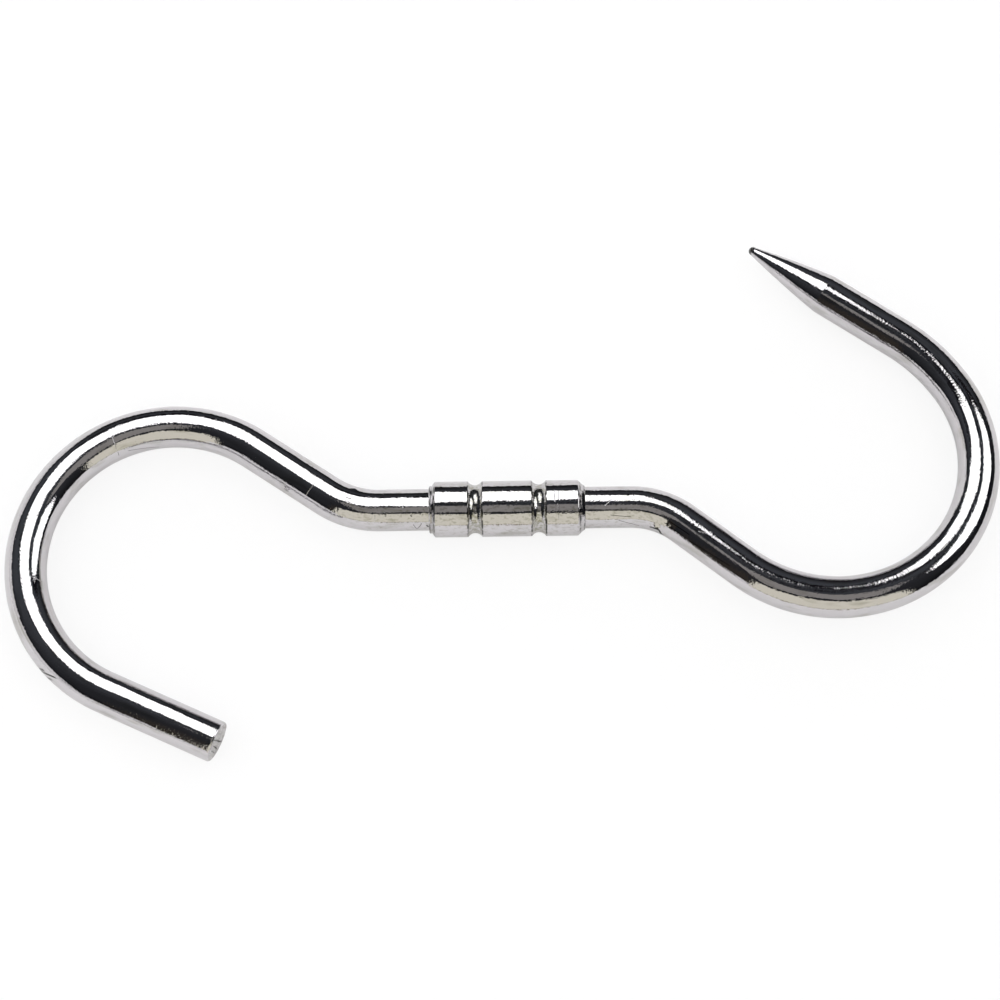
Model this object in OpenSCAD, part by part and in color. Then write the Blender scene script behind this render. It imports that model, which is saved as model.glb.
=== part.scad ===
// Swivel S hook of polished round bar.
// A blunt rail hook and a pointed load hook turn end to end in one rolled sleeve.
// The hook lies flat: +X runs along the swivel axis from the rail hook to the load hook,
// +Z is up, and the origin is on the floor at the middle of the footprint.

/* [Bar] */
// Diameter of the round bar that both hooks are bent from
rod_d = 10; // [8:0.5:12]

/* [Rail hook] */
// Straight bar between the sleeve and the crank
rail_neck_l = 12; // [6:0.1:30]
// Crank bend, radius on the bar's centre line
rail_crank_r = 22.3; // [14:0.1:40]
// Crank bend, angle away from the swivel axis
rail_crank_turn = 34.4; // [15:0.1:45]
// Straight web between the crank and the bow
rail_web_l = 21.4; // [10:0.1:40]
// Bow, radius on its inside, where the rail sits
rail_bow_in_r = 29.6; // [20:0.1:45]
// Bow, angle that it turns through
rail_bow_turn = 189.5; // [160:0.5:200]
// Straight tail from the bow to the sawn end
rail_tail_l = 29.5; // [10:0.1:45]
// Rounding of the sawn end's rim
rail_end_edge_r = 0.6; // [0.2:0.1:1.5]

/* [Load hook] */
// Straight bar between the sleeve and the crank
load_neck_l = 10.8; // [6:0.1:30]
// Crank bend, radius on the bar's centre line
load_crank_r = 20.2; // [14:0.1:40]
// Crank bend, angle away from the swivel axis
load_crank_turn = 39; // [15:0.1:45]
// Straight web between the crank and the bow
load_web_l = 17.9; // [10:0.1:40]
// Bow, radius on its inside, where the load hangs
load_bow_in_r = 30.7; // [20:0.1:45]
// Bow, angle that it turns through
load_bow_turn = 163; // [140:0.5:185]
// Short straight between the bow and its easing
load_break_l = 1; // [0.5:0.1:5]
// Easing where the bow opens into the tail, radius on its inside
load_ease_in_r = 38; // [30:0.5:80]
// Easing, angle that it turns through
load_ease_turn = 20.5; // [5:0.5:35]
// Straight tail from the easing to the ground point
load_tail_l = 21.3; // [8:0.1:40]

/* [Point] */
// Length of the ground point, without its nose
point_l = 21; // [12:0.5:35]
// How far the point's side bows out from a straight cone, as an angle at its start
point_swell = 2.2; // [0.5:0.1:4]
// Radius of the blunted nose
nose_r = 1.1; // [0.5:0.05:1.5]

/* [Sleeve] */
// Length of the sleeve
sleeve_l = 37.4; // [32:0.1:50]
// Wall of the sleeve's tube
sleeve_wall = 1.6; // [1.6:0.1:2.5]
// Running clearance round the bar in the bore
bore_gap = 0.1; // [0.05:0.05:0.3]
// Distance from the sleeve's middle to each rolled groove
groove_x = 7.65; // [7.5:0.05:9]
// Radius of the roller that pressed the grooves
groove_roll_r = 2; // [1.6:0.1:2.6]
// Depth of each rolled groove
groove_depth = 0.95; // [0.6:0.05:1.3]
// Chamfer on each end of the sleeve
sleeve_chamfer = 1.4; // [0.3:0.05:1.5]

/* [Swivel] */
// Clearance between a rolled bead and the bottom of the turned neck
bead_gap = 0.2; // [0.1:0.05:0.4]
// End play of each hook, on either side of its bead
end_play = 0.3; // [0.1:0.05:0.5]
// Gap between the ends of the two bars
heads_gap = 1; // [0.4:0.1:2]

/* [Hidden] */
$fn = 96;
steel = [0.76, 0.76, 0.75];
tube_steel = [0.74, 0.73, 0.71];
rod_r = rod_d / 2;
bore_r = rod_r + bore_gap;
sleeve_r = bore_r + sleeve_wall;

// Straights are a hair thinner than what they join, and lap into it, so no two faces coincide
hair = rod_d / 1000;
lap = 0.03 * rod_d;

// The tube keeps its wall where it is rolled in, so groove and bead are arcs about one centre
roll_centre_r = sleeve_r + groove_roll_r - groove_depth;
bead_roll_r = groove_roll_r + sleeve_wall;
bead_r = roll_centre_r - bead_roll_r;
bead_half = sqrt(pow(bead_roll_r, 2) - pow(roll_centre_r - bore_r, 2));

// Turned neck of each bar, which its bead runs in
neck_r = bead_r - bead_gap;
neck_start = groove_x - bead_half - end_play;
neck_end = groove_x + bead_half + end_play;
bar_start = heads_gap / 2;

// Bend tables: straight length, then the bend's centre-line radius and its angle.
// A positive angle turns the bar to the left.
rail_steps = [
    [sleeve_l / 2 + rail_neck_l - neck_end, rail_crank_r, -rail_crank_turn],
    [rail_web_l, rail_bow_in_r + rod_r, rail_bow_turn],
    [rail_tail_l - rail_end_edge_r, 0, 0]
];
load_steps = [
    [sleeve_l / 2 + load_neck_l - neck_end, load_crank_r, -load_crank_turn],
    [load_web_l, load_bow_in_r + rod_r, load_bow_turn],
    [load_break_l, load_ease_in_r + rod_r, load_ease_turn],
    [load_tail_l, 0, 0]
];

// Place and heading after a number of steps, as [x, y, heading], from the end of the neck
function run_state(steps, count, at = [neck_end, 0, 0]) =
    count == 0 ? at : after_step(steps[count - 1], run_state(steps, count - 1, at));
function after_straight(at, l) = [at[0] + l * cos(at[2]), at[1] + l * sin(at[2]), at[2]];
function after_bend(at, r, turn) = [
    at[0] + sign(turn) * r * (sin(at[2] + turn) - sin(at[2])),
    at[1] - sign(turn) * r * (cos(at[2] + turn) - cos(at[2])),
    at[2] + turn
];
function after_step(step, at) = after_bend(after_straight(at, step[0]), step[1], step[2]);

// Furthest that a bow reaches along the swivel axis, on the bar's outside
function bow_reach(steps) =
    let (start = after_straight(run_state(steps, 1), steps[1][0]))
    start[0] + steps[1][1] * (1 - sin(start[2])) + rod_r;

rail_end = run_state(rail_steps, len(rail_steps));
load_end = run_state(load_steps, len(load_steps));
rail_width = rail_end[1] + rail_end_edge_r * sin(rail_end[2]) + rod_r * abs(cos(rail_end[2]));
load_width = load_end[1] + point_l * sin(load_end[2]) + nose_r;

// Each hook lies turned a little about the swivel axis, until its tail meets the floor
rail_droop = asin((sleeve_r - rod_r) / rail_end[1]);
load_droop = asin((sleeve_r - rod_r) / load_end[1]);

// Middle of the footprint, seen from the middle of the sleeve
middle_x = (bow_reach(load_steps) - bow_reach(rail_steps)) / 2;
middle_y = (load_width - rail_width) / 2;

// The ground point is an arc that leaves the bar at a small angle and steepens to the nose
point_start_angle = atan((rod_r - nose_r) / point_l) - point_swell;
point_arc_r = norm([rod_r - nose_r, point_l]) / 2 / sin(point_swell);

// Moves what is modelled about the middle of the sleeve to the floor
module on_floor() {
    translate([-middle_x, -middle_y, sleeve_r]) children();
}

// Round bar along +X
module bar(from, to, r = rod_r) {
    translate([from, 0, 0]) rotate([0, 90, 0]) cylinder(h = to - from, r = r);
}

// Bar bent to the left from the origin, heading along +X
module left_bend(r, turn) {
    translate([0, r, 0]) rotate([0, 0, -90])
        rotate_extrude(angle = turn) translate([r, 0]) rotate(-90) circle(r = rod_r);
}

// Bar that follows a bend table from the origin; the children go on its end
module bent_bar(steps, i = 0) {
    if (i == len(steps)) {
        children();
    } else {
        step = steps[i];
        after = after_step(step, [0, 0, 0]);
        bar(i == 0 ? 0 : -lap, step[0] + (step[2] == 0 ? 0 : lap), rod_r - hair);
        translate([step[0], 0, 0]) {
            if (step[2] > 0) left_bend(step[1], step[2]);
            if (step[2] < 0) mirror([0, 1, 0]) left_bend(step[1], -step[2]);
        }
        translate([after[0], after[1], 0]) rotate([0, 0, after[2]])
            bent_bar(steps, i + 1) children();
    }
}

// Head and turned neck, which the bead in the sleeve holds
module swivel_end() {
    bar(bar_start, neck_start, rod_r - hair);
    bar(bar_start + lap, neck_end + lap, neck_r);
}

// Sawn end with a rounded rim
module sawn_end() {
    rotate([0, 90, 0]) rotate_extrude() {
        translate([0, -lap]) square([rod_r, lap]);
        square([rod_r - rail_end_edge_r, rail_end_edge_r]);
        translate([rod_r - rail_end_edge_r, 0]) intersection() {
            circle(r = rail_end_edge_r);
            square(rail_end_edge_r);
        }
    }
}

// Point ground to an arc of revolution, with a blunted nose
module ground_point() {
    rotate([0, 90, 0]) rotate_extrude() intersection() {
        translate([0, -lap]) square([rod_r, lap + point_l]);
        translate([
            rod_r - point_arc_r * cos(point_start_angle),
            -point_arc_r * sin(point_start_angle)
        ]) circle(r = point_arc_r, $fn = 720);
    }
    translate([point_l, 0, 0]) sphere(r = nose_r - hair);
}

// Section through the sleeve's wall, with its grooves outside and its beads inside
module sleeve_section() {
    difference() {
        union() {
            polygon([
                [bore_r, -sleeve_l / 2],
                [sleeve_r - sleeve_chamfer, -sleeve_l / 2],
                [sleeve_r, sleeve_chamfer - sleeve_l / 2],
                [sleeve_r, sleeve_l / 2 - sleeve_chamfer],
                [sleeve_r - sleeve_chamfer, sleeve_l / 2],
                [bore_r, sleeve_l / 2]
            ]);
            for (side = [-1, 1]) intersection() {
                translate([roll_centre_r, side * groove_x]) circle(r = bead_roll_r);
                translate([0, side * groove_x - bead_roll_r])
                    square([bore_r + sleeve_wall / 2, 2 * bead_roll_r]);
            }
        }
        for (side = [-1, 1])
            translate([roll_centre_r, side * groove_x]) circle(r = groove_roll_r);
    }
}

// Blunt hook that hangs on the rail
module rail_hook() {
    color(steel) on_floor() rotate([0, 0, 180]) rotate([-rail_droop, 0, 0]) {
        swivel_end();
        translate([neck_end, 0, 0]) bent_bar(rail_steps) sawn_end();
    }
}

// Sleeve rolled over the necks of both bars
module sleeve() {
    color(tube_steel) on_floor() rotate([0, 90, 0]) rotate_extrude() sleeve_section();
}

// Pointed hook that carries the load
module load_hook() {
    color(steel) on_floor() rotate([-load_droop, 0, 0]) {
        swivel_end();
        translate([neck_end, 0, 0]) bent_bar(load_steps) ground_point();
    }
}

rail_hook();
sleeve();
load_hook();
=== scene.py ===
import math

import bpy
import numpy as np
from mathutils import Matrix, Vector
from mathutils.bvhtree import BVHTree


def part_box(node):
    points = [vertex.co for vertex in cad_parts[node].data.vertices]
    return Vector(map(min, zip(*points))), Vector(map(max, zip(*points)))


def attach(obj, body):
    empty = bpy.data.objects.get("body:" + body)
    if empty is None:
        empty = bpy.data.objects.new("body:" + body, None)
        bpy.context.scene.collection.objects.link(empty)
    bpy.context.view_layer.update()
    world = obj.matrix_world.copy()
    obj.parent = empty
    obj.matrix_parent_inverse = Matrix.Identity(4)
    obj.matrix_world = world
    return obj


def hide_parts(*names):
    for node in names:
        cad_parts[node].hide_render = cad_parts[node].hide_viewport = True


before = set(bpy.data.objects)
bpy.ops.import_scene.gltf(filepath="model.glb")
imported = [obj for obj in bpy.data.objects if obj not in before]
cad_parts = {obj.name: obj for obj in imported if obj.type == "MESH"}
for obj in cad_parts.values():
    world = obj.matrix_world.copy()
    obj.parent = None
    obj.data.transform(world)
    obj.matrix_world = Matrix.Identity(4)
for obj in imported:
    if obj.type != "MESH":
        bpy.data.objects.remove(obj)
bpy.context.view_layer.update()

MM = 0.001

# The swivel's middle, which both hooks are modelled about
sleeve_low, sleeve_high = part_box("sleeve")
swivel = (sleeve_low + sleeve_high) / 2
sleeve_r = (sleeve_high.z - sleeve_low.z) / 2
sleeve_l = sleeve_high.x - sleeve_low.x

# Round bar and its turned end
ROD_R = 5 * MM
ROUND = 128
STEP = 0.5 * MM
UNBEND_BLOCKS = 24
NECK_R = 3.95 * MM
HEAD_START = 0.5 * MM
NECK_START = 4.913 * MM
NECK_END = 10.387 * MM
GUARD = 0.05 * MM

# Bend tables: straight, then the bend's centre-line radius and its angle to the left
RAIL_BENDS = [
    (sleeve_l / 2 + 12 * MM - NECK_END, 22.3 * MM, -34.4),
    (21.4 * MM, 34.6 * MM, 189.5),
]
RAIL_TAIL = 29.5 * MM
RAIL_RIM = 0.6 * MM
RIM_RINGS = 6
FACE_RINGS = 15
LOAD_BENDS = [
    (sleeve_l / 2 + 10.8 * MM - NECK_END, 20.2 * MM, -39.0),
    (17.9 * MM, 35.7 * MM, 163.0),
    (1 * MM, 43 * MM, 20.5),
]
LOAD_TAIL = 21.3 * MM
POINT_L = 21 * MM
POINT_RINGS = 56
POINT_SWELL = math.radians(2.2)
NOSE_R = 1.1 * MM
NOSE_RINGS = 8

# Rolled sleeve
BORE_R = 5.1 * MM
GROOVE_X = 7.65 * MM
ROLL_R = 2 * MM
GROOVE_DEPTH = 0.95 * MM
WALL = 1.6 * MM
ROLL_RINGS = 16

# Camera at the photo's viewing angle
TILT = math.radians(19.69)
ROLL = math.radians(0.80)
CAMERA_AWAY = 600 * MM
PIXEL = 0.2404 * MM
SWIVEL_AT = (507.0, 508.7)
PICTURE = 1000
SENSOR = 36
eye = bpy.data.cameras.new("camera")
camera = bpy.data.objects.new("camera", eye)
bpy.context.scene.collection.objects.link(camera)
bpy.context.scene.camera = camera
camera.location = swivel + Vector((0, -math.sin(TILT), math.cos(TILT))) * CAMERA_AWAY
camera.rotation_mode = "QUATERNION"
camera.rotation_quaternion = Vector((0, math.sin(TILT), -math.cos(TILT))).to_track_quat("-Z", "Y")
camera.rotation_mode = "XYZ"
camera.rotation_euler.rotate_axis("Z", -ROLL)
eye.sensor_width = SENSOR
eye.lens = SENSOR * CAMERA_AWAY / (PICTURE * PIXEL)
eye.shift_x = -(SWIVEL_AT[0] - PICTURE / 2) / PICTURE
eye.shift_y = (SWIVEL_AT[1] - PICTURE / 2) / PICTURE
eye.clip_start, eye.clip_end = 0.01, 50


def deselect():
    bpy.ops.object.select_all(action="DESELECT")


def spots_of(mesh):
    """Places of a mesh's vertices, one row each."""
    spots = np.empty(len(mesh.vertices) * 3)
    mesh.vertices.foreach_get("co", spots)
    return spots.reshape(-1, 3)


class Bar:
    """A round piece that grows ring by ring, along a heading that can bend to the left or right."""

    def __init__(self, name, x, radius):
        deselect()
        bpy.ops.mesh.primitive_circle_add(
            vertices=ROUND, radius=radius, fill_type="NOTHING",
            location=(x, 0, 0), rotation=(0, math.pi / 2, 0),
        )
        self.piece = bpy.context.object
        self.piece.name = self.piece.data.name = name
        bpy.ops.object.transform_apply(location=True, rotation=True, scale=True)
        bpy.ops.object.mode_set(mode="EDIT")
        bpy.ops.mesh.select_mode(type="EDGE")
        bpy.ops.mesh.select_all(action="SELECT")
        self.at = Vector((x, 0, 0))
        self.heading = 0.0
        self.radius = radius
        self.run = x
        self.stations = []
        self.note(self.at, 0.0)

    def note(self, middle, heading):
        """Keeps where a ring lies: its run along the bar, its radius, its middle and its heading."""
        self.stations.append((self.run, self.radius, *middle, heading))

    def ahead(self):
        return Vector((math.cos(self.heading), math.sin(self.heading), 0))

    def ring(self, advance, radius):
        """One more ring, further on by advance and of another radius."""
        step = self.ahead() * advance
        bpy.ops.mesh.extrude_edges_move(TRANSFORM_OT_translate={"value": step})
        self.at += step
        share = radius / self.radius
        if abs(share - 1) > 1e-9:
            bpy.ops.transform.resize(value=(share, share, share), center_override=self.at)
        self.radius = radius
        self.run += advance
        self.note(self.at, self.heading)

    def straight(self, length):
        count = max(1, round(length / STEP))
        step = self.ahead() * (length / count)
        bpy.ops.mesh.extrude_repeat(steps=count, offset=step)
        for _ in range(count):
            self.at += step
            self.run += length / count
            self.note(self.at, self.heading)

    def bend(self, bend_r, turn):
        side = math.copysign(1, turn)
        angle = math.radians(turn)
        length = bend_r * abs(angle)
        count = max(1, round(length / STEP))
        left = Vector((-math.sin(self.heading), math.cos(self.heading), 0))
        centre = self.at + left * bend_r * side
        bpy.ops.mesh.spin(steps=count, angle=angle, center=centre, axis=(0, 0, -1))
        for _ in range(count):
            self.heading += angle / count
            right = Vector((math.sin(self.heading), -math.cos(self.heading), 0))
            self.at = centre + right * bend_r * side
            self.run += length / count
            self.note(self.at, self.heading)

    def cap(self):
        bpy.ops.mesh.edge_face_add()

    def unbend(self):
        """Gives each vertex its place on the straight bar, in millimetres, which the finishes follow."""
        mesh = self.piece.data
        spots = spots_of(mesh)
        rings = np.array(self.stations)
        run, radius, middle, heading = rings[:, 0], rings[:, 1], rings[:, 2:5], rings[:, 5]
        ahead = np.stack([np.cos(heading), np.sin(heading), np.zeros(len(run))], 1)
        left = np.stack([-ahead[:, 1], ahead[:, 0], np.zeros(len(run))], 1)
        unbent = np.empty_like(spots)
        for block in np.array_split(np.arange(len(spots)), UNBEND_BLOCKS):
            offset = spots[block, None] - middle[None]
            along = (offset * ahead).sum(2)
            beyond = np.linalg.norm(offset, axis=2) - radius
            own = (along**2 + beyond**2).argmin(1)
            chosen = offset[np.arange(len(block)), own]
            unbent[block, 0] = run[own]
            unbent[block, 1] = (chosen * left[own]).sum(1)
            unbent[block, 2] = chosen[:, 2]
        layer = mesh.attributes.new("unbent", "FLOAT_VECTOR", "POINT")
        layer.data.foreach_set("vector", (unbent / MM).ravel())

    def place(self, half_turn, droop):
        """Ends the modelling, and lays the piece where its CAD node lies."""
        bpy.ops.object.mode_set(mode="OBJECT")
        self.unbend()
        self.piece.rotation_euler = (-droop, 0, math.pi if half_turn else 0)
        self.piece.location = swivel
        bpy.ops.object.transform_apply(location=True, rotation=True, scale=True)
        for face in self.piece.data.polygons:
            face.use_smooth = True
        return self.piece


def point_radius(along):
    """Radius of the ground point, an arc that leaves the bar at a small angle and steepens to the nose."""
    fall = ROD_R - NOSE_R
    start = math.atan(fall / POINT_L) - POINT_SWELL
    arc_r = math.hypot(fall, POINT_L) / 2 / math.sin(POINT_SWELL)
    from_centre = along + arc_r * math.sin(start)
    return ROD_R - arc_r * math.cos(start) + math.sqrt(arc_r**2 - from_centre**2)


def start_bar(name):
    """The head and the turned neck that the sleeve's bead holds."""
    bar = Bar(name, HEAD_START, ROD_R)
    bar.cap()
    bpy.ops.mesh.select_all(action="SELECT")
    bpy.ops.mesh.region_to_loop()
    bar.ring(NECK_START - HEAD_START, ROD_R)
    bar.ring(0, NECK_R)
    bar.ring(NECK_END - NECK_START, NECK_R)
    bar.ring(0, ROD_R)
    return bar


def droop_of(bar):
    """How far the hook turns about the swivel until its tail meets the floor."""
    return math.asin((sleeve_r - ROD_R) / bar.at.y)


def make_rail_hook():
    bar = start_bar("rail_hook_bar")
    for straight, bend_r, turn in RAIL_BENDS:
        bar.straight(straight)
        bar.bend(bend_r, turn)
    bar.straight(RAIL_TAIL - RAIL_RIM - GUARD)
    bar.ring(GUARD, ROD_R)
    for i in range(1, RIM_RINGS + 1):
        a = math.radians(90 * i / RIM_RINGS)
        b = math.radians(90 * (i - 1) / RIM_RINGS)
        bar.ring(RAIL_RIM * (math.sin(a) - math.sin(b)), ROD_R - RAIL_RIM * (1 - math.cos(a)))
    face_r = bar.radius
    bar.ring(0, face_r - GUARD)
    for i in range(FACE_RINGS - 1, 0, -1):
        bar.ring(0, face_r * i / FACE_RINGS)
    bar.cap()
    return bar, bar.place(True, droop_of(bar))


def make_load_hook():
    bar = start_bar("load_hook_bar")
    for straight, bend_r, turn in LOAD_BENDS:
        bar.straight(straight)
        bar.bend(bend_r, turn)
    bar.straight(LOAD_TAIL - GUARD)
    bar.ring(GUARD, ROD_R)
    droop = droop_of(bar)
    bar.ring(GUARD, point_radius(GUARD))
    at = GUARD
    for i in range(1, POINT_RINGS + 1):
        along = POINT_L * i / POINT_RINGS
        bar.ring(along - at, point_radius(along))
        at = along
    for i in range(1, NOSE_RINGS):
        a = math.radians(90 * i / NOSE_RINGS)
        b = math.radians(90 * (i - 1) / NOSE_RINGS)
        bar.ring(NOSE_R * (math.sin(a) - math.sin(b)), NOSE_R * math.cos(a))
    bar.cap()
    return bar, bar.place(False, droop)


def rounded(corners, per_arc=6, guard=0.04 * MM):
    """Stations through corners given as [x, radius, fillet], with a guard ring beside each fillet."""
    out = [corners[0][:2]]
    for (x0, r0, _), (x1, r1, fillet), (x2, r2, _) in zip(corners, corners[1:], corners[2:]):
        a = Vector((x0 - x1, r0 - r1)).normalized()
        b = Vector((x2 - x1, r2 - r1)).normalized()
        corner = Vector((x1, r1))
        half = a.angle(b) / 2
        if not fillet or half > math.radians(89):
            out.append((x1, r1))
            continue
        reach = fillet / math.tan(half)
        centre = corner + (a + b).normalized() * (fillet / math.sin(half))
        first, last = corner + a * reach, corner + b * reach
        out.append(tuple(first + a * guard))
        turn = math.pi - 2 * half
        spoke = first - centre
        side = math.copysign(1, spoke.x * (last - centre).y - spoke.y * (last - centre).x)
        for i in range(per_arc + 1):
            t = side * turn * i / per_arc
            out.append((
                centre.x + spoke.x * math.cos(t) - spoke.y * math.sin(t),
                centre.y + spoke.x * math.sin(t) + spoke.y * math.cos(t),
            ))
        out.append(tuple(last + b * guard))
    out.append(corners[-1][:2])
    return out


def sleeve_stations():
    """Outside of the sleeve and back through its bore, as [x, radius]."""
    half = sleeve_l / 2
    roll_centre = sleeve_r + ROLL_R - GROOVE_DEPTH
    groove_half = math.sqrt(ROLL_R**2 - (roll_centre - sleeve_r) ** 2)
    bead_r = ROLL_R + WALL
    bead_half = math.sqrt(bead_r**2 - (roll_centre - BORE_R) ** 2)
    # The left mouth is turned in to a small lip, and the right one has a plain chamfer
    outside = [
        (-half, BORE_R, 0),
        (-half, 5.5 * MM, 0.12 * MM),
        (0.28 * MM - half, 5.8 * MM, 0.16 * MM),
        (0.6 * MM - half, 5.62 * MM, 0.12 * MM),
        (1.4 * MM - half, sleeve_r, 0.4 * MM),
    ]
    for side in (-1, 1):
        for i in range(ROLL_RINGS + 1):
            x = groove_half * (2 * i / ROLL_RINGS - 1)
            fillet = 0.2 * MM if i in (0, ROLL_RINGS) else 0
            outside.append((side * GROOVE_X + x, roll_centre - math.sqrt(ROLL_R**2 - x**2), fillet))
    outside += [
        (half - 1.65 * MM, sleeve_r, 0.4 * MM),
        (half - 0.8 * MM, 5.85 * MM, 0.3 * MM),
        (half - 0.12 * MM, 5.35 * MM, 0.1 * MM),
        (half, 5.25 * MM, 0),
        (half, BORE_R, 0),
    ]
    inside = []
    for side in (1, -1):
        for i in range(ROLL_RINGS + 1):
            x = bead_half * (1 - 2 * i / ROLL_RINGS)
            inside.append((side * GROOVE_X + x, roll_centre - math.sqrt(bead_r**2 - x**2)))
    return rounded(outside) + inside


def make_sleeve():
    stations = sleeve_stations()
    tube = Bar("rolled_sleeve", *stations[0])
    for (x, r), (last, _) in zip(stations[1:], stations):
        tube.ring(x - last, r)
    bpy.ops.mesh.select_all(action="SELECT")
    bpy.ops.mesh.region_to_loop()
    bpy.ops.mesh.bridge_edge_loops()
    bpy.ops.mesh.select_all(action="SELECT")
    bpy.ops.mesh.normals_make_consistent(inside=False)
    return tube.place(False, 0)


class Sight:
    """What the camera sees of one piece, by the place in the picture."""

    def __init__(self, piece):
        mesh = piece.data
        self.piece = piece
        self.faces = BVHTree.FromPolygons(
            [v.co.copy() for v in mesh.vertices], [tuple(face.vertices) for face in mesh.polygons]
        )

    def spot(self, x, y):
        """Place on the piece's surface, and the outward direction there."""
        aim = Vector(((x - SWIVEL_AT[0]) * PIXEL, (SWIVEL_AT[1] - y) * PIXEL, -CAMERA_AWAY))
        aim = camera.rotation_euler.to_matrix() @ aim
        point, outward, _, _ = self.faces.ray_cast(camera.location, aim.normalized())
        if point is None:
            point, outward, _, _ = self.faces.find_nearest(camera.location + aim)
        return point, outward

    def press(self, x, y, depth, reach):
        """Dents the piece, or raises it where depth is negative."""
        point, outward = self.spot(x, y)
        mesh = self.piece.data
        nearest = int(np.linalg.norm(spots_of(mesh) - np.array(point), axis=1).argmin())
        for parts in (mesh.vertices, mesh.edges, mesh.polygons):
            parts.foreach_set("select", np.zeros(len(parts), bool))
        mesh.vertices[nearest].select = True
        bpy.ops.object.mode_set(mode="EDIT")
        bpy.ops.mesh.select_mode(type="VERT")
        bpy.ops.transform.translate(
            value=-outward * depth, use_proportional_edit=True,
            proportional_edit_falloff="SMOOTH", proportional_size=reach,
        )
        bpy.ops.object.mode_set(mode="OBJECT")


class Wire:
    """A socket of a finish's nodes, which goes into sums like a number."""

    def __init__(self, finish, socket):
        self.finish = finish
        self.socket = socket

    def math(self, operation, first, second=None):
        return self.finish.node("ShaderNodeMath", {"operation": operation}, first, second)

    def __add__(self, other):
        return self.math("ADD", self, other)

    def __sub__(self, other):
        return self.math("SUBTRACT", self, other)

    def __rsub__(self, other):
        return self.math("SUBTRACT", other, self)

    def __mul__(self, other):
        return self.math("MULTIPLY", self, other)

    def __gt__(self, other):
        return self.math("GREATER_THAN", self, other)

    def __abs__(self):
        return self.math("ABSOLUTE", self)

    __radd__ = __add__
    __rmul__ = __mul__


class Finish:
    """One procedural finish, whose nodes are made by one method."""

    def __init__(self, name):
        self.material = bpy.data.materials.new(name)
        self.material.use_nodes = True
        self.tree = self.material.node_tree
        self.tree.nodes.clear()

    def node(self, kind, settings=None, *values, out=0, **named):
        made = self.tree.nodes.new(kind)
        for key, value in (settings or {}).items():
            setattr(made, key, value)
        sockets = dict(enumerate(values)) | named
        for key, value in sockets.items():
            if isinstance(value, Wire):
                self.tree.links.new(value.socket, made.inputs[key])
            elif value is not None:
                made.inputs[key].default_value = value
        return Wire(self, made.outputs[out]) if made.outputs else None

    def vector(self, operation, first, second, out=0):
        return self.node("ShaderNodeVectorMath", {"operation": operation}, first, second, out=out)

    def noise(self, place, stretch, scale, detail):
        """Noise from 0 to 1. A small first share of stretch draws it out along the bar."""
        at = self.vector("MULTIPLY", place, stretch)
        return self.node("ShaderNodeTexNoise", None, Vector=at, Scale=scale, Detail=detail)

    def fade(self, value, low, high):
        """0 at low and 1 at high, with a soft step between them."""
        soft = {"interpolation_type": "SMOOTHSTEP"}
        return self.node("ShaderNodeMapRange", soft, value, low, high, 0.0, 1.0)

    def blend(self, share, first, second):
        """Colour between two colours. Those sockets follow five that number and vector mixes use."""
        unused = [None] * 5
        return self.node("ShaderNodeMix", {"data_type": "RGBA"}, share, *unused, first, second, out=2)

    def scratch(self, place, sight, x0, y0, x1, y1, half_width):
        """Mask of a fine scratch between two places in the picture."""
        start, first_out = sight.spot(x0, y0)
        end, last_out = sight.spot(x1, y1)
        way = end - start
        outward = (first_out + last_out).normalized()
        across = way.cross(outward).normalized()
        from_start = self.vector("SUBTRACT", place, start)
        along = self.vector("DOT_PRODUCT", from_start, way.normalized(), out="Value")
        aside = abs(self.vector("DOT_PRODUCT", from_start, across, out="Value"))
        height = self.vector("DOT_PRODUCT", from_start, outward, out="Value")
        line = self.fade(aside, half_width, half_width * 0.3)
        ends = self.fade(along, 0.0, MARK_END) * self.fade(along, way.length, way.length - MARK_END)
        return line * ends * (height > -MARK_REACH)


# Polished steel where it is clean, where a thin film dulls it, and a near-black painted both for dirt and
# for dark reflections and shade
BRIGHT = (0.57, 0.555, 0.57, 1)
FILM = (0.33, 0.325, 0.28, 1)
SOIL_AND_PAINTED_SHADE = (0.05, 0.052, 0.045, 1)

# How softly a scratch ends, and how far below the surface its mask still reaches
MARK_END = 0.3 * MM
MARK_REACH = 2 * MM

# Marks on the sleeve, in millimetres from its middle, but groove edges from the groove's own middle. The
# groove edges get a painted dark reflection, and the chamfers and mouths are darkened
RING_LINES = (11.5, 12.4)
EDGE_FROM_GROOVE = 1.72
CHAMFER_AT = 17.5
MOUTH_AT = 18.2

# Depths of relief in millimetres
WAVE_DEPTH = 0.05
LINE_DEPTH = 0.01
PIT_DEPTH = 0.02
SAWN_DEPTH = 0.2
GROUND_DEPTH = 0.03
ROLLED_DEPTH = 0.05
RING_DEPTH = 0.02
SCRATCH_DEPTH = 0.03

# In millimetres: how far before the sawn end its finish starts, and where on the point the nose darkens
SAWN_BACK = 0.12
NOSE_FROM, NOSE_TO = 20.6, 21.4


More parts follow.
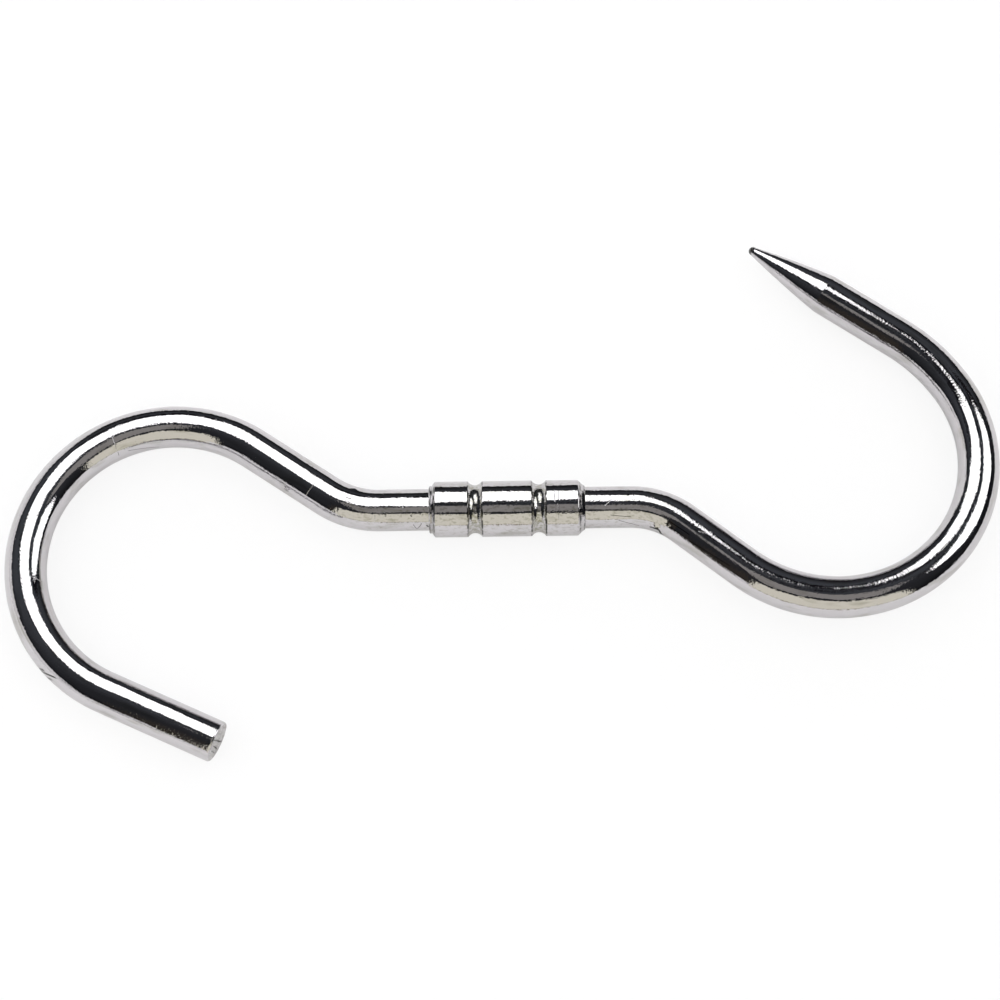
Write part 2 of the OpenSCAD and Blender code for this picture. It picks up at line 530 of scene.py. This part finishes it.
def steel_finish(
    name, sight, scratches, dirt_and_shade_marks=(), grain=1.0, sawn_from=None, ground_from=None, rolled=False
):
    """Hand-polished bar: drawn-out polishing lines, slow waves, small pits, film, dirt, painted dark
    reflections and scratches.
    """
    finish = Finish(name)
    unbent = finish.node("ShaderNodeAttribute", {"attribute_name": "unbent"}, out="Vector")
    place = finish.node("ShaderNodeTexCoord", out="Object")
    run = finish.node("ShaderNodeSeparateXYZ", None, unbent)
    waves = finish.noise(unbent, (0.5, 1, 1), 0.35, 0.0)
    lines = finish.noise(unbent, (0.05, 1, 1), 3.2, 0.0)
    pits = finish.noise(unbent, (1, 1, 1), 2.2, 1.0)
    height = (waves * WAVE_DEPTH + lines * LINE_DEPTH + pits * PIT_DEPTH) * grain
    hazy = finish.fade(finish.noise(unbent, (0.3, 1, 1), 0.9, 2.0), 0.5, 0.8)
    rough = 0.04 + 0.06 * hazy
    streaks = finish.fade(finish.noise(unbent, (0.25, 1, 1), 0.5, 2.0), 0.5, 0.75)
    smudges = finish.fade(finish.noise(unbent, (0.6, 1, 1), 1.5, 3.0), 0.5, 0.68)
    handled = finish.fade(run, 60.0, 22.0)
    film = 0.5 * streaks + handled * 0.45 * smudges
    # Random dirt patches; the painted shade and dark reflections added further down go into the same mask
    soil_and_painted_shade = 0.6 * finish.fade(finish.noise(unbent, (0.7, 1, 1), 2.4, 2.0), 0.74, 0.82)
    if sawn_from:
        sawn = finish.fade(run, sawn_from, sawn_from + 0.1)
        height = height + sawn * finish.noise(unbent, (1, 1, 1), 2.5, 2.0) * SAWN_DEPTH
        rough = rough + sawn * 0.22
        film = film + sawn * 0.2
    if ground_from:
        ground = finish.fade(run, ground_from, ground_from + 0.3)
        height = height + ground * finish.noise(unbent, (1.4, 0.4, 0.4), 2.5, 1.0) * GROUND_DEPTH
        nose = finish.fade(run, ground_from + NOSE_FROM, ground_from + NOSE_TO)
        soil_and_painted_shade = soil_and_painted_shade + nose * 0.9
        rough = rough + nose * 0.2
    if rolled:
        from_groove = abs(abs(run) - GROOVE_X / MM)
        groove = finish.fade(from_groove, 1.9, 1.3)
        blotch = finish.fade(finish.noise(unbent, (1, 1, 1), 1.3, 2.0), 0.35, 0.65)
        height = height + groove * finish.noise(unbent, (1, 1, 1), 2.0, 2.0) * ROLLED_DEPTH
        rough = rough + groove * 0.07
        film = film + groove * blotch * 0.8
        # A dark line painted along each groove edge stands in for a dark reflection; the chamfers and mouths
        # are darkened too
        groove_edge_painted_reflection = finish.fade(abs(from_groove - EDGE_FROM_GROOVE), 0.26, 0.1)
        chamfer = finish.fade(abs(abs(run) - CHAMFER_AT), 0.3, 0.1)
        mouth = chamfer + finish.fade(abs(run), MOUTH_AT, MOUTH_AT + 0.3)
        broken = finish.fade(finish.noise(unbent, (1, 1, 1), 0.8, 1.0), 0.3, 0.6)
        soil_and_painted_shade = soil_and_painted_shade + (groove_edge_painted_reflection + mouth * 0.8) * broken
        for at in RING_LINES:
            height = height - RING_DEPTH * finish.fade(abs(run - at), 0.2, 0.05)
    for mark in scratches:
        cut = finish.scratch(place, sight, *mark)
        height = height - SCRATCH_DEPTH * cut
        rough = rough + 0.1 * cut
    # Dark marks painted at listed places: mostly dark reflections beside dents, creases and kinks, and some
    # dirt
    for mark in dirt_and_shade_marks:
        soil_and_painted_shade = soil_and_painted_shade + finish.scratch(place, sight, *mark)
    normal = finish.node("ShaderNodeBump", None, Distance=MM, Height=height)
    steel = finish.blend(film, BRIGHT, FILM)
    shader = finish.node(
        "ShaderNodeBsdfPrincipled", None, finish.blend(soil_and_painted_shade, steel, SOIL_AND_PAINTED_SHADE),
        Metallic=1.0, Roughness=rough, Normal=normal,
    )
    finish.node("ShaderNodeOutputMaterial", None, shader)
    return finish.material


# Dents as picture place, depth and reach; raised metal has a negative depth
RAIL_DENTS = [
    (354, 488.5, 0.2 * MM, 1.0 * MM),
    (286, 489, 0.25 * MM, 0.8 * MM),
    (224.5, 728, 0.4 * MM, 1.2 * MM),
    (221, 733, 0.35 * MM, 1.1 * MM),
    (219, 741, 0.3 * MM, 0.8 * MM),
    (216, 747, 0.2 * MM, 0.6 * MM),
    (215, 753, -0.12 * MM, 0.7 * MM),
]
LOAD_DENTS = [
    (656, 527.5, 0.42 * MM, 1.4 * MM),
    (661.5, 532.5, 0.38 * MM, 1.2 * MM),
    (666, 523, -0.08 * MM, 0.7 * MM),
    (671, 526, -0.08 * MM, 0.7 * MM),
    (676, 529, -0.08 * MM, 0.7 * MM),
    (752, 249, 0.3 * MM, 0.9 * MM),
]

# Scratches as two places in the picture and half their width
RAIL_SCRATCHES = [
    (112, 435, 118, 453, 0.1 * MM),
    (315, 483, 303, 502, 0.09 * MM),
    (30, 576, 42, 582, 0.1 * MM),
    (403, 502, 403, 508, 0.14 * MM),
    (384, 510, 386, 517, 0.14 * MM),
    (375, 514, 375, 523, 0.08 * MM),
    (411, 513, 412, 517, 0.14 * MM),
    (413, 528, 422, 522, 0.12 * MM),
]
LOAD_SCRATCHES = [
    (931, 353, 938, 364, 0.1 * MM),
    (698, 531, 709, 534, 0.12 * MM),
    (765, 572, 770, 577, 0.1 * MM),
    (604, 506, 612, 499, 0.12 * MM),
    (649, 522, 655, 531, 0.1 * MM),
]
# Dark marks as two places in the picture and half their width: mostly painted dark reflections beside dents,
# creases and kinks, and some dirt
LOAD_DIRT_AND_PAINTED_SHADE = [
    (649, 527, 659, 527.5, 0.4 * MM),
    (657, 527, 664, 535, 0.4 * MM),
    (664, 522.5, 682, 536, 0.12 * MM),
    (668, 520.5, 690, 535, 0.14 * MM),
    (610, 515, 632, 517, 0.1 * MM),
    (618, 520, 640, 526, 0.1 * MM),
    (690, 541, 730, 566, 0.1 * MM),
]
RAIL_DIRT_AND_PAINTED_SHADE = [
    (213, 740, 222, 741.5, 0.25 * MM),
    (213.5, 746, 217, 749, 0.25 * MM),
    (211.5, 751, 214.5, 753, 0.2 * MM),
    (284, 488, 289, 491.5, 0.25 * MM),
    (383, 513, 386, 515, 0.2 * MM),
    (410, 515, 412, 517, 0.16 * MM),
    (413, 524, 417, 529, 0.1 * MM),
    (417, 529, 422, 523, 0.1 * MM),
    (426, 525, 429, 527, 0.3 * MM),
    (345, 497, 352, 499, 0.15 * MM),
    (132, 463, 160, 447, 0.1 * MM),
    (118, 452, 119, 456, 0.08 * MM),
]
SLEEVE_SCRATCHES = [
    (558, 503, 559, 520, 0.08 * MM),
    (554, 490, 555, 502, 0.12 * MM),
]

bar, rail_piece = make_rail_hook()
sight = Sight(rail_piece)
for dent in RAIL_DENTS:
    sight.press(*dent)
sawn_from = bar.run / MM - SAWN_BACK
rail_piece.data.materials.append(
    steel_finish("rail_hook_steel", sight, RAIL_SCRATCHES, RAIL_DIRT_AND_PAINTED_SHADE, sawn_from=sawn_from)
)
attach(rail_piece, "rail_hook")
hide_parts("rail_hook")

sleeve_piece = make_sleeve()
sight = Sight(sleeve_piece)
sleeve_piece.data.materials.append(
    steel_finish("rolled_sleeve_steel", sight, SLEEVE_SCRATCHES, grain=0.8, rolled=True)
)
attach(sleeve_piece, "sleeve")
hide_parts("sleeve")

bar, load_piece = make_load_hook()
sight = Sight(load_piece)
for dent in LOAD_DENTS:
    sight.press(*dent)
ground_from = (bar.run - POINT_L - NOSE_R) / MM
load_piece.data.materials.append(
    steel_finish("load_hook_steel", sight, LOAD_SCRATCHES, LOAD_DIRT_AND_PAINTED_SHADE, ground_from=ground_from)
)
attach(load_piece, "load_hook")
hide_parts("load_hook")


# Studio, with lengths in millimetres and light in linear colour
SQUARE = ((-1, -1), (1, -1), (1, 1), (-1, 1))
SOFTBOX_GLOW = (2.6, 2.6, 2.6)
CASE_BLACK = (0.008, 0.008, 0.010)
CASE = 42
CASE_BEHIND = 8
FLOOR_SIZE = 8000
TENT_R = 3000
DAYLIGHT = 2.05

# How much of the floor's look is bright paper, straight from the camera and in the metal
PAPER_SEEN = 0.85
PAPER_MIRRORED = 0.1

# Outline of each softbox's lit face as each piece sees it: reach in millimetres, all the way round
OVER = {
    rail_piece: (
        256, 216, 216, 216, 200, 184, 184, 192, 224, 240,
        240, 224, 208, 208, 248, 280, 320, 320, 296, 280,
    ),
    sleeve_piece: (
        200, 230, 264, 264, 240, 220, 200, 190, 180, 170,
        165, 176, 176, 165, 165, 180, 185, 190, 200, 200,
    ),
    load_piece: (
        240, 248, 248, 240, 240, 240, 262, 255, 200, 152,
        136, 136, 136, 136, 128, 128, 136, 190, 228, 240,
    ),
}
BESIDE = {
    rail_piece: (
        192, 184, 184, 184, 176, 176, 192, 224, 224, 224,
        224, 224, 224, 224, 224, 216, 216, 224, 224, 200,
    ),
    sleeve_piece: (
        216, 216, 208, 180, 160, 160, 165, 200, 224, 220,
        184, 144, 144, 144, 160, 168, 168, 208, 216, 216,
    ),
    load_piece: (
        208, 208, 208, 176, 152, 152, 160, 184, 215, 215,
        176, 136, 136, 136, 160, 160, 160, 208, 216, 216,
    ),
}


def rounded_outline(reaches, grow=0):
    """Corners of a smooth outline through the reaches, which are evenly turned about its middle."""
    count = len(reaches)
    corners = []
    for i in range(4 * count):
        k, t = i // 4, (i % 4) / 4
        a, b, c, d = (reaches[(k + j) % count] for j in (-1, 0, 1, 2))
        slope = (c - a) / 2
        bow = a - 2.5 * b + 2 * c - d / 2
        twist = (d - a + 3 * (b - c)) / 2
        reach = b + t * slope + t * t * bow + t**3 * twist + grow
        angle = 2 * math.pi * (k + t) / count
        corners.append((reach * math.cos(angle), reach * math.sin(angle)))
    return corners


def studio_piece(name, corners, faces, glow, for_piece=None):
    """A flat piece of the studio, which the camera doesn't see. With for_piece it lights that piece only."""
    mesh = bpy.data.meshes.new(name)
    mesh.from_pydata([corner * MM for corner in corners], [], faces)
    holder = bpy.data.objects.new(name, mesh)
    bpy.context.scene.collection.objects.link(holder)
    finish = Finish(name)
    light = finish.node("ShaderNodeEmission", None, (*glow, 1), 1.0)
    if for_piece:
        light = finish.node("ShaderNodeAddShader", None, light, finish.node("ShaderNodeBsdfTransparent"))
        lit = bpy.data.collections.new(name + "_lights")
        lit.objects.link(for_piece)
        holder.light_linking.receiver_collection = lit
    finish.node("ShaderNodeOutputMaterial", None, light)
    mesh.materials.append(finish.material)
    holder.visible_camera = False


def card(name, middle, across, up, glow):
    """A flat card, by its middle and its half width and half height."""
    middle, across, up = Vector(middle), Vector(across), Vector(up)
    corners = [middle + across * a + up * b for a, b in SQUARE]
    studio_piece(name, corners, [range(4)], glow)


def softbox(name, middle, across, up, faces):
    """A lamp's lit face, in one outline for each piece of the hook, with a black case round each."""
    middle = Vector(middle)
    across = Vector(across).normalized()
    back = across.cross(Vector(up)).normalized()
    if back.dot(middle) < 0:
        back.negate()
    up = Vector(up) - across * across.dot(Vector(up))
    up.normalize()
    for i, (piece, reaches) in enumerate(faces.items()):
        face_middle = middle + back * i
        inner = [face_middle + across * a + up * b for a, b in rounded_outline(reaches)]
        count = len(inner)
        studio_piece(name + "_for_" + piece.name, inner, [range(count)], SOFTBOX_GLOW, piece)
        case_middle = face_middle + back * CASE_BEHIND
        behind = [corner + back * CASE_BEHIND for corner in inner]
        outer = [case_middle + across * a + up * b for a, b in rounded_outline(reaches, CASE)]
        sides = [(k, (k + 1) % count, count + (k + 1) % count, count + k) for k in range(count)]
        studio_piece(name + "_case_for_" + piece.name, behind + outer, sides, CASE_BLACK)


softbox("softbox_over", (-100, 227, 431), (232.5, 92, 0), (-70, 177.3, -161.8), OVER)
softbox("softbox_beside", (378, 24, 340), (-81, 168, -52), (-43, 4, 139), BESIDE)
card("warm_wall", (130, -1325, 797), (1120, 0, 0), (0, 0, 752), (0.936, 0.909, 0.77))
card("brown_skirting", (130, -1328, 22), (1120, 0, 0), (0, 0, 22), (0.283, 0.235, 0.164))
card("brown_screen", (-674, -826, 350), (358, 498, 0), (0, 0, 350), (0.044, 0.038, 0.032))
card("grey_flag", (65, -220, 600), (265, 0, 0), (0, 155, 0), (0.33, 0.317, 0.303))
card("pale_riser", (-400, 0, 48), (0, 600, 0), (0, 0, 48), (0.936, 0.93, 0.93))

# Soft light from all round for the floor. The metal mirrors the dark cloth instead
world = bpy.data.worlds.new("world")
bpy.context.scene.world = world
world.use_nodes = True
sky = world.node_tree.nodes["Background"]
sky.inputs["Color"].default_value = (1, 1, 1, 1)
sky.inputs["Strength"].default_value = DAYLIGHT

# White floor, which the camera sees as bright paper with the hook's faint shadow on it
deselect()
bpy.ops.mesh.primitive_plane_add(size=FLOOR_SIZE * MM, location=(0, 0, 0))
floor = bpy.context.object
floor.name = "floor"
white = Finish("floor_white")
camera_ray, glossy_ray, through_ray = (
    white.node("ShaderNodeLightPath", out=out)
    for out in ("Is Camera Ray", "Is Glossy Ray", "Is Transmission Ray")
)
paper_share = camera_ray * PAPER_SEEN + (glossy_ray + through_ray) * PAPER_MIRRORED
paper = white.node("ShaderNodeBsdfPrincipled", None, (0.78, 0.775, 0.785, 1), Roughness=0.9)
bright_paper = white.node("ShaderNodeEmission", None, (1, 1, 1, 1), 1.0)
floor_light = white.node("ShaderNodeMixShader", None, paper_share, paper, bright_paper)
white.node("ShaderNodeOutputMaterial", None, floor_light)
floor.data.materials.append(white.material)

# Dark cloth round the studio, lighter above and at the back, which only shows in the metal
deselect()
bpy.ops.mesh.primitive_uv_sphere_add(radius=TENT_R * MM, segments=64, ring_count=32, location=(0, 0, 0))
tent = bpy.context.object
tent.name = "dark_tent"
dark = Finish("dark_cloth")
around = dark.node("ShaderNodeTexCoord", out="Object")
above = dark.vector("DOT_PRODUCT", around, (0, 0, 1), out="Value")
beyond = dark.vector("DOT_PRODUCT", around, (0, 1, 0), out="Value")
cloth_share = dark.fade(above, 0.0, 1.9) * (0.3 + 0.7 * dark.fade(beyond, -1.4, 0.8))
cloth_light = dark.blend(cloth_share, (0.009, 0.009, 0.010, 1), (0.064, 0.069, 0.078, 1))
glow = dark.node("ShaderNodeEmission", None, cloth_light, 1.0)
dark.node("ShaderNodeOutputMaterial", None, glow)
tent.data.materials.append(dark.material)
tent.visible_camera = False
tent.visible_diffuse = False
tent.visible_shadow = False

bpy.context.scene.view_settings.view_transform = "Standard"
